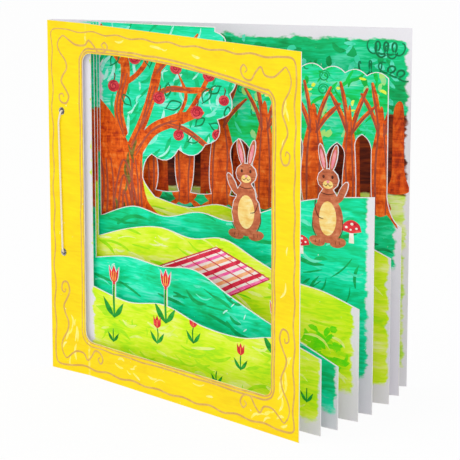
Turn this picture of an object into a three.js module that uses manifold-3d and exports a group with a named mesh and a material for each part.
// A standing picture book of eight stiff cards, laced with one cord at the left margin and fanned open.
// The front card is a window frame, the six behind it are cut to hills and trees, and the last is whole.
// Millimetres, +Z up. The front cover's panel lies along +X and the cards fan back from it towards +Y.
// The origin is under the middle of the standing book, on the surface that it stands on.

import * as THREE from 'three';
import { mergeVertices } from 'three/addons/utils/BufferGeometryUtils.js';
import Module from 'manifold-3d';

// Cards
const CARD_LENGTH = 275;
const CARD_HEIGHT = 270;
const CARD_THICKNESS = 0.6;
const CARD_GAP = 0.35;

// Binding margin: how far each card is gripped before its crease, and the strip kept beside the pictures
const MARGIN_WIDTH = 40;
const STRIP_WIDTH = 42;
const CREASE_GAP = 0.3;

// Fan, in degrees from the front cover's panel
const FIRST_MARGIN_TURN = 8;
const MARGIN_STEP = 3.9;
const PANEL_TURN = {
  front_cover: 0,
  meadow_card: 4.5,
  low_hill_card: 8.3,
  field_card: 13.7,
  high_hill_card: 17.9,
  fruit_tree_card: 24.5,
  forest_card: 29.6,
  back_cover: 35.3,
};

// Punched lacing holes
const HOLE_DIAMETER = 6;
const HOLE_INSET = 14;
const HOLE_BELOW_TOP = 68;
const HOLE_ABOVE_FOOT = 93;

// Lacing cord, tied at the back. Its slack is how far the front stretch strays, and how far below the top hole
const CORD_DIAMETER = 1.6;
const CORD_CLEARANCE = 0.35;
const CORD_BEND = 2.2;
const CORD_SLACK = [2.4, 8];
const KNOT_RADIUS = 2.4;
const KNOT_TAIL = 13;

// Front cover's window frame: widths of its bars, its corners and the bow of its top edge
const LEFT_BAR = 36.5;
const RIGHT_BAR = 28.5;
const FOOT_BAR = 26.5;
const TOP_BAR_LEFT = 22;
const TOP_BAR_RIGHT = 32;
const WINDOW_BOW = 5;
const WINDOW_CORNER = 9;

// Hills: heights of each cut edge above the foot, from the strip to the outer end
const MEADOW_EDGE = [70, 64, 68, 59, 57, 63, 55];
const LOW_HILL_EDGE = [92, 97, 94, 96, 82, 69, 58, 46];
const FIELD_EDGE = [108, 117, 121, 116, 119, 107, 96, 91, 82];
const HIGH_HILL_EDGE = [123, 133, 128, 134, 130, 141, 151, 156, 159];
const TREE_HILL_EDGE = [140, 134, 138, 129, 124, 117, 119, 109];
const FOREST_HILL_EDGE = [151, 146, 143, 145, 139, 141, 134, 127];

// Tulips that stand above the meadow's edge: share of the picture's width and height of the cup's foot
const TULIPS = [[0.1, 76], [0.34, 81], [0.815, 76]];
const TULIP_WIDTH = 11;
const TULIP_HEIGHT = 13;
const TULIP_STEM = 3.4;

// Hares that look over the high hill: share of the picture's width, height of the chin, side of the raised paw
const HARES = [[0.55, 158, -1], [0.84, 160, 1]];
const HARE_HEAD = [9, 8.2];
const HARE_CHEST = [8.6, 12];
const HARE_BODY = [12.5, 17];
const HARE_EAR = [2.9, 10.5];
const HARE_EAR_TILT = 13;
const HARE_PAW = [3.1, 9];
const HARE_PAW_TILT = 27;
const HARE_OVERLAP = 3;

// Fruit tree: its trunk beside the strip, and a crown that hangs out over the hill
const TRUNK_WIDTH = 35;
const TRUNK_FLARE = 9;
const TRUNK_TOP = 172;
const CROWN_REACH = 148;
const CROWN_SHOULDER = 12;
const CROWN_SLOPE = [20, 10];
const CROWN_LOBES = 3;
const CROWN_BULGE = 6.5;

// Forest: gaps between the trunks, as share of the picture's width, width, crown height and lean
const FOREST_GAPS = [
  [0.217, 18, 182, -2], [0.333, 16, 190, 3], [0.478, 21, 186, -3],
  [0.627, 25, 197, 2], [0.775, 17, 187, 3], [0.877, 15, 194, -2],
];
const FOREST_TOP = 244;
const FOREST_CORNER_DROP = 8;
const FOREST_SETBACK = 11;
const FOREST_RISE = 22;
const FOREST_LOBES = [7, 5];
const FOREST_BULGE = 3.5;

// Shares of the picture's width between which the forest's crown falls from the card's top to its own
const FOREST_FALL = [0.17, 0.6];

const SMOOTHNESS = 6;
const RUN_OUT = 10;
const PANEL_LENGTH = CARD_LENGTH - MARGIN_WIDTH;
const PICTURE_WIDTH = CARD_LENGTH - STRIP_WIDTH;
const NAMES = Object.keys(PANEL_TURN);
const HOLE_HEIGHTS = [CARD_HEIGHT - HOLE_BELOW_TOP, HOLE_ABOVE_FOOT];

const wasm = await Module();
wasm.setup();

const radians = THREE.MathUtils.degToRad;

// Solids

function solid(geometry) {
  geometry.deleteAttribute('normal');
  geometry.deleteAttribute('uv');
  const merged = mergeVertices(geometry, 1e-4);
  return new wasm.Manifold(new wasm.Mesh({
    numProp: 3,
    vertProperties: merged.attributes.position.array,
    triVerts: Uint32Array.from(merged.index.array),
  }));
}

function mesh(name, body, colour, roughness) {
  const { vertProperties, triVerts } = body.getMesh();
  const geometry = new THREE.BufferGeometry();
  geometry.setAttribute('position', new THREE.BufferAttribute(vertProperties, 3));
  geometry.setIndex(new THREE.BufferAttribute(triVerts, 1));
  geometry.computeVertexNormals();
  const material = new THREE.MeshStandardMaterial({ color: colour, roughness, metalness: 0 });
  const made = new THREE.Mesh(geometry, material);
  made.name = name;
  return made;
}

// A cutter through a card: an outline of places along the card and heights, run past both faces
function cutter(outline) {
  const geometry = new THREE.ExtrudeGeometry(outline, {
    depth: 2 * RUN_OUT,
    bevelEnabled: false,
    curveSegments: SMOOTHNESS,
  });
  geometry.translate(0, 0, -RUN_OUT);
  geometry.rotateX(Math.PI / 2);
  return solid(geometry);
}

// A card standing on its edge: its plan outline, run up to the card's height
function standing(plan) {
  const shape = new THREE.Shape(plan.map(([x, y]) => new THREE.Vector2(x, y)));
  return solid(new THREE.ExtrudeGeometry(shape, { depth: CARD_HEIGHT, bevelEnabled: false }));
}

function ellipse(x, z, [across, up], tilt = 0) {
  const shape = new THREE.Shape();
  shape.absellipse(x, z, across, up, 0, 2 * Math.PI, false, radians(tilt));
  return shape;
}

function punched(body) {
  const radius = HOLE_DIAMETER / 2;
  return HOLE_HEIGHTS.reduce(
    (card, height) => card.subtract(cutter(ellipse(HOLE_INSET, height, [radius, radius]))),
    body,
  );
}

// Outlines

const along = (share) => STRIP_WIDTH + share * PICTURE_WIDTH;

// Points of a hill's edge, evenly spaced from the strip to past the outer end
function edgePoints(heights, from = STRIP_WIDTH) {
  const step = (CARD_LENGTH - from) / (heights.length - 1);
  return heights.map((height, i) => new THREE.Vector2(from + i * step, height));
}

// The card that is cut away above a hill, between the strip and the outer end
function skyAbove(heights) {
  const edge = edgePoints(heights);
  const shape = new THREE.Shape();
  shape.moveTo(STRIP_WIDTH, CARD_HEIGHT + RUN_OUT);
  shape.lineTo(STRIP_WIDTH, heights[0]);
  shape.splineThru(edge.slice(1));
  shape.lineTo(CARD_LENGTH + RUN_OUT, heights.at(-1));
  shape.lineTo(CARD_LENGTH + RUN_OUT, CARD_HEIGHT + RUN_OUT);
  return shape;
}

// Leafy lobes along a line of foliage, each bulging to the left of the way that the line runs
function lobes(shape, to, count, bulge) {
  const from = shape.currentPoint.clone();
  const way = to.clone().sub(from);
  const aside = new THREE.Vector2(-way.y, way.x).normalize().multiplyScalar(2 * bulge);
  for (let i = 0; i < count; i += 1) {
    const middle = from.clone().addScaledVector(way, (i + 0.5) / count).add(aside);
    const end = from.clone().addScaledVector(way, (i + 1) / count);
    shape.quadraticCurveTo(middle.x, middle.y, end.x, end.y);
  }
}

function tulip([share, foot]) {
  const place = along(share);
  const half = TULIP_WIDTH / 2;
  const notch = TULIP_HEIGHT * 0.68;
  const shape = new THREE.Shape();
  shape.moveTo(place, foot);
  shape.bezierCurveTo(place + half, foot, place + half, foot + notch, place + half, foot + TULIP_HEIGHT);
  shape.lineTo(place + half / 2, foot + notch);
  shape.lineTo(place, foot + TULIP_HEIGHT * 1.08);
  shape.lineTo(place - half / 2, foot + notch);
  shape.lineTo(place - half, foot + TULIP_HEIGHT);
  shape.bezierCurveTo(place - half, foot + notch, place - half, foot, place, foot);
  return shape;
}

function stem([share, foot]) {
  const place = along(share);
  const half = TULIP_STEM / 2;
  const shape = new THREE.Shape();
  shape.moveTo(place - half, 0);
  shape.lineTo(place + half, 0);
  shape.lineTo(place + half, foot + half);
  shape.lineTo(place - half, foot + half);
  return shape;
}

function hare([share, chin, raised]) {
  const place = along(share);
  const crown = chin + 2 * HARE_HEAD[1];
  const ear = (side) => ellipse(
    place + side * HARE_HEAD[0] * 0.5,
    crown + HARE_EAR[1] * 0.7,
    HARE_EAR,
    -side * HARE_EAR_TILT,
  );
  const chest = chin + HARE_OVERLAP - HARE_CHEST[1];
  const paw = [place + raised * (HARE_CHEST[0] + HARE_PAW[0]), chest + HARE_CHEST[1] * 0.75];
  return [
    ellipse(place, chin + HARE_HEAD[1], HARE_HEAD),
    ellipse(place, chest, HARE_CHEST),
    ellipse(place, chest - HARE_CHEST[1], HARE_BODY),
    ellipse(...paw, HARE_PAW, -raised * HARE_PAW_TILT),
    ear(-1),
    ear(1),
  ];
}

function windowOutline() {
  const r = WINDOW_CORNER;
  const right = CARD_LENGTH - RIGHT_BAR;
  const topLeft = CARD_HEIGHT - TOP_BAR_LEFT;
  const topRight = CARD_HEIGHT - TOP_BAR_RIGHT;
  const bow = (topLeft + topRight) / 2 + 2 * WINDOW_BOW;
  const shape = new THREE.Shape();
  shape.moveTo(LEFT_BAR, FOOT_BAR + r);
  shape.quadraticCurveTo(LEFT_BAR, FOOT_BAR, LEFT_BAR + r, FOOT_BAR);
  shape.lineTo(right - r, FOOT_BAR);
  shape.quadraticCurveTo(right, FOOT_BAR, right, FOOT_BAR + r);
  shape.lineTo(right, topRight - r);
  shape.quadraticCurveTo(right, topRight, right - r, topRight);
  shape.quadraticCurveTo((LEFT_BAR + right) / 2, bow, LEFT_BAR + r, topLeft);
  shape.quadraticCurveTo(LEFT_BAR, topLeft, LEFT_BAR, topLeft - r);
  return shape;
}

// Pictures: what each inner card loses, as a cutter

const picture = {
  meadow_card() {
    const standingUp = TULIPS.flatMap((place) => [tulip(place), stem(place)]);
    return kept(skyAbove(MEADOW_EDGE), standingUp);
  },
  low_hill_card: () => cutter(skyAbove(LOW_HILL_EDGE)),
  field_card: () => cutter(skyAbove(FIELD_EDGE)),
  high_hill_card: () => kept(skyAbove(HIGH_HILL_EDGE), HARES.flatMap(hare)),
  fruit_tree_card: () => cutter(skyBesideTree()),
  forest_card() {
    return FOREST_GAPS.reduce((cut, gap) => cut.add(cutter(forestGap(gap))), cutter(skyOverForest()));
  },
};

function kept(sky, shapes) {
  return shapes.reduce((cut, shape) => cut.subtract(cutter(shape)), cutter(sky));
}

function skyBesideTree() {
  const trunk = STRIP_WIDTH + TRUNK_WIDTH;
  const hill = edgePoints(TREE_HILL_EDGE, trunk + TRUNK_FLARE);
  const shoulder = CROWN_REACH - CROWN_SHOULDER;
  const flank = new THREE.Vector2(CROWN_REACH, (CARD_HEIGHT + TRUNK_TOP) / 2);
  const hem = new THREE.Vector2(CROWN_REACH - CROWN_SLOPE[0], TRUNK_TOP + CROWN_SLOPE[1]);
  const shape = new THREE.Shape();
  shape.moveTo(CARD_LENGTH + RUN_OUT, CARD_HEIGHT + RUN_OUT);
  shape.lineTo(shoulder, CARD_HEIGHT + RUN_OUT);
  shape.lineTo(shoulder, CARD_HEIGHT - CROWN_BULGE / 2);
  lobes(shape, flank, CROWN_LOBES, CROWN_BULGE);
  lobes(shape, hem, CROWN_LOBES - 1, CROWN_BULGE);
  lobes(shape, new THREE.Vector2(trunk + CROWN_BULGE, TRUNK_TOP), CROWN_LOBES - 1, CROWN_BULGE);
  const waist = trunk - TRUNK_FLARE / 9;
  shape.quadraticCurveTo(waist, TRUNK_TOP - TRUNK_FLARE / 2, waist, TRUNK_TOP - 2 * TRUNK_FLARE);
  shape.quadraticCurveTo(trunk, hill[0].y + TRUNK_FLARE, hill[0].x, hill[0].y);
  shape.splineThru(hill.slice(1));
  shape.lineTo(CARD_LENGTH + RUN_OUT, TREE_HILL_EDGE.at(-1));
  return shape;
}

function skyOverForest() {
  const right = CARD_LENGTH - FOREST_SETBACK;
  const ground = FOREST_HILL_EDGE.at(-1);
  const [start, end] = FOREST_FALL.map(along);
  const shape = new THREE.Shape();
  shape.moveTo(CARD_LENGTH + RUN_OUT, CARD_HEIGHT + RUN_OUT);
  shape.lineTo(start, CARD_HEIGHT + RUN_OUT);
  shape.lineTo(start, CARD_HEIGHT - FOREST_BULGE);
  lobes(shape, new THREE.Vector2(end, FOREST_TOP), FOREST_LOBES[0], FOREST_BULGE);
  lobes(shape, new THREE.Vector2(right, FOREST_TOP - FOREST_CORNER_DROP), FOREST_LOBES[1], FOREST_BULGE);
  shape.lineTo(right, ground + FOREST_RISE);
  shape.quadraticCurveTo(right + FOREST_SETBACK / 5, ground + FOREST_RISE / 5, CARD_LENGTH, ground);
  shape.lineTo(CARD_LENGTH + RUN_OUT, ground);
  return shape;
}

// One gap between two trunks: the hill below, an arch of leaves above, and trunks that flare at the foot
function forestGap([share, width, crown, lean]) {
  const hill = new THREE.SplineCurve(edgePoints(FOREST_HILL_EDGE));
  const left = along(share) - width / 2;
  const right = left + width;
  const ground = hill.getPoint(share).y;
  const flare = width / 5;
  const shoulder = crown - width * 0.7;
  const tip = along(share) + lean;
  const shape = new THREE.Shape();
  shape.moveTo(left, ground);
  shape.quadraticCurveTo(along(share), ground - flare / 2, right, ground);
  shape.quadraticCurveTo(right - flare, ground + 3 * flare, right - flare / 2 + lean / 2, shoulder);
  shape.quadraticCurveTo(right - flare / 2 + lean, crown - flare, tip, crown);
  shape.quadraticCurveTo(left + flare / 2 + lean, crown - flare, left + flare / 2 + lean / 2, shoulder);
  shape.quadraticCurveTo(left + flare, ground + 3 * flare, left, ground);
  return shape;
}

// Cards

const marginTurn = (index) => radians(FIRST_MARGIN_TURN + index * MARGIN_STEP);
const panelTurn = (name) => radians(PANEL_TURN[name]);

// Where a card's edge sits in the stack at the spine
function spineEdge(index) {
  const across = marginTurn((NAMES.length - 1) / 2) + Math.PI / 2;
  const reach = index * (CARD_THICKNESS + CARD_GAP);
  return new THREE.Vector3(reach * Math.cos(across), reach * Math.sin(across), 0);
}

// A whole inner card: margin along +X from the spine edge, bent at its crease, punched and cut to its picture
function innerCard(name, index) {
  const bend = panelTurn(name) - marginTurn(index);
  const half = CARD_THICKNESS / 2;
  const lean = half * Math.tan(bend / 2);
  const end = [MARGIN_WIDTH + PANEL_LENGTH * Math.cos(bend), PANEL_LENGTH * Math.sin(bend)];
  const aside = [-half * Math.sin(bend), half * Math.cos(bend)];
  const sheet = standing([
    [0, -half],
    [MARGIN_WIDTH + lean, -half],
    [end[0] - aside[0], end[1] - aside[1]],
    [end[0] + aside[0], end[1] + aside[1]],
    [MARGIN_WIDTH - lean, half],
    [0, half],
  ]);
  const cut = picture[name]()
    .translate([-MARGIN_WIDTH, 0, 0])
    .rotate([0, 0, THREE.MathUtils.radToDeg(bend)])
    .translate([MARGIN_WIDTH, 0, 0]);
  return punched(sheet.subtract(cut));
}

// A cover's margin strip: the part that the lacing grips
function coverMargin(window) {
  const half = CARD_THICKNESS / 2;
  const reach = MARGIN_WIDTH - CREASE_GAP / 2;
  const strip = punched(standing([[0, -half], [reach, -half], [reach, half], [0, half]]));
  return window ? strip.subtract(window) : strip;
}

// A cover's panel beside its crease: its hinge line is the origin, on the face that it folds towards
function coverPanel(side, window) {
  const near = CREASE_GAP / 2;
  const back = -side * CARD_THICKNESS;
  const plan = [[near, 0], [PANEL_LENGTH, 0], [PANEL_LENGTH, back], [near, back]];
  const sheet = standing(side < 0 ? plan : plan.reverse());
  return window ? sheet.subtract(window.translate([-MARGIN_WIDTH, 0, 0])) : sheet;
}

// The crease on a cover's outer face: side is -1 at the front and 1 at the back
function crease(index, side) {
  const turn = marginTurn(index);
  const out = side * CARD_THICKNESS / 2;
  const place = new THREE.Vector3(MARGIN_WIDTH, out, 0);
  return place.applyAxisAngle(new THREE.Vector3(0, 0, 1), turn).add(spineEdge(index));
}

// Lacing cord

// A point over a cover's outer face at the line of the holes, or a little aside of it towards the spine
function overHoles(index, side, height, aside = 0) {
  const out = side * (CARD_THICKNESS / 2 + CORD_CLEARANCE + CORD_DIAMETER / 2);
  const place = new THREE.Vector3(HOLE_INSET - aside, out, height);
  return place.applyAxisAngle(new THREE.Vector3(0, 0, 1), marginTurn(index)).add(spineEdge(index));
}

// A run of straight stretches with rounded bends
function routed(points) {
  const path = new THREE.CurvePath();
  let from = points[0];
  for (let i = 1; i < points.length - 1; i += 1) {
    const corner = points[i];
    const before = corner.clone().add(from.clone().sub(corner).setLength(CORD_BEND));
    const after = corner.clone().add(points[i + 1].clone().sub(corner).setLength(CORD_BEND));
    path.add(new THREE.LineCurve3(from, before));
    path.add(new THREE.QuadraticBezierCurve3(before, corner, after));
    from = after;
  }
  path.add(new THREE.LineCurve3(from, points.at(-1)));
  return path;
}

function strand(path, steps) {
  const section = new THREE.Shape();
  section.absarc(0, 0, CORD_DIAMETER / 2, 0, 2 * Math.PI);
  return solid(new THREE.ExtrudeGeometry(section, { extrudePath: path, steps, curveSegments: 4 }));
}

function lacingCord() {
  const last = NAMES.length - 1;
  const [high, low] = HOLE_HEIGHTS;
  const knot = overHoles(last, 1, (high + low) / 2);
  const inside = KNOT_RADIUS * 0.4;
  const route = routed([
    knot.clone().setZ(knot.z + inside),
    overHoles(last, 1, high),
    overHoles(0, -1, high),
    overHoles(0, -1, high - CORD_SLACK[1], CORD_SLACK[0]),
    overHoles(0, -1, low),
    overHoles(last, 1, low),
    knot.clone().setZ(knot.z - inside),
  ]);
  const tie = new THREE.TorusKnotGeometry(KNOT_RADIUS, CORD_DIAMETER / 2, 60, 8, 2, 3);
  tie.rotateX(Math.PI / 2);
  tie.rotateZ(marginTurn(last));
  const out = new THREE.Vector3(-Math.sin(marginTurn(last)), Math.cos(marginTurn(last)), 0);
  const centre = knot.clone().addScaledVector(out, KNOT_RADIUS * 0.55);
  tie.translate(centre.x, centre.y, centre.z);
  const along = new THREE.Vector3(out.y, -out.x, 0);
  const tails = [-1, 1].map((side) => {
    const start = centre.clone().addScaledVector(along, side * KNOT_RADIUS);
    const middle = start.clone().addScaledVector(along, side * KNOT_TAIL / 3).setZ(start.z - KNOT_TAIL / 3);
    const end = middle.clone().addScaledVector(along, side * KNOT_TAIL / 8).setZ(start.z - KNOT_TAIL);
    return strand(new THREE.QuadraticBezierCurve3(start, middle, end), 8);
  });
  return [solid(tie), ...tails].reduce((cord, piece) => cord.add(piece), strand(route, 96));
}

// Assembly

const YELLOW = 0xfbe400;
const WHITE = 0xf1eef0;
const PAINT = {
  meadow_card: 0xc6ec1e,
  low_hill_card: 0x18c889,
  field_card: 0xb8e620,
  high_hill_card: 0x12c47e,
  fruit_tree_card: 0x9fdc2e,
  forest_card: 0x1fbf84,
};

function turned(made, place, turn) {
  made.position.copy(place);
  made.rotation.z = turn;
  return made;
}

function bookGroup() {
  const book = new THREE.Group();
  const last = NAMES.length - 1;
  const window = cutter(windowOutline());
  const covers = [
    { index: 0, name: 'front_cover', side: -1, colour: YELLOW, window },
    { index: last, name: 'back_cover', side: 1, colour: WHITE, window: null },
  ];
  for (const { index, name, side, colour, window: opening } of covers) {
    const margin = mesh(`${name}_margin`, coverMargin(opening), colour, 0.7);
    const panel = mesh(name, coverPanel(side, opening), colour, 0.7);
    book.add(turned(margin, spineEdge(index), marginTurn(index)));
    book.add(turned(panel, crease(index, side), panelTurn(name)));
  }
  for (const [name, colour] of Object.entries(PAINT)) {
    const index = NAMES.indexOf(name);
    book.add(turned(mesh(name, innerCard(name, index), colour, 0.8), spineEdge(index), marginTurn(index)));
  }
  book.add(mesh('lacing_cord', lacingCord(), 0xefe9dc, 0.9));
  return book;
}

const group = new THREE.Group();
const book = bookGroup();
const middle = new THREE.Box3().setFromObject(book, true).getCenter(new THREE.Vector3());
book.position.set(-middle.x, -middle.y, 0);
group.add(book);

export default group;
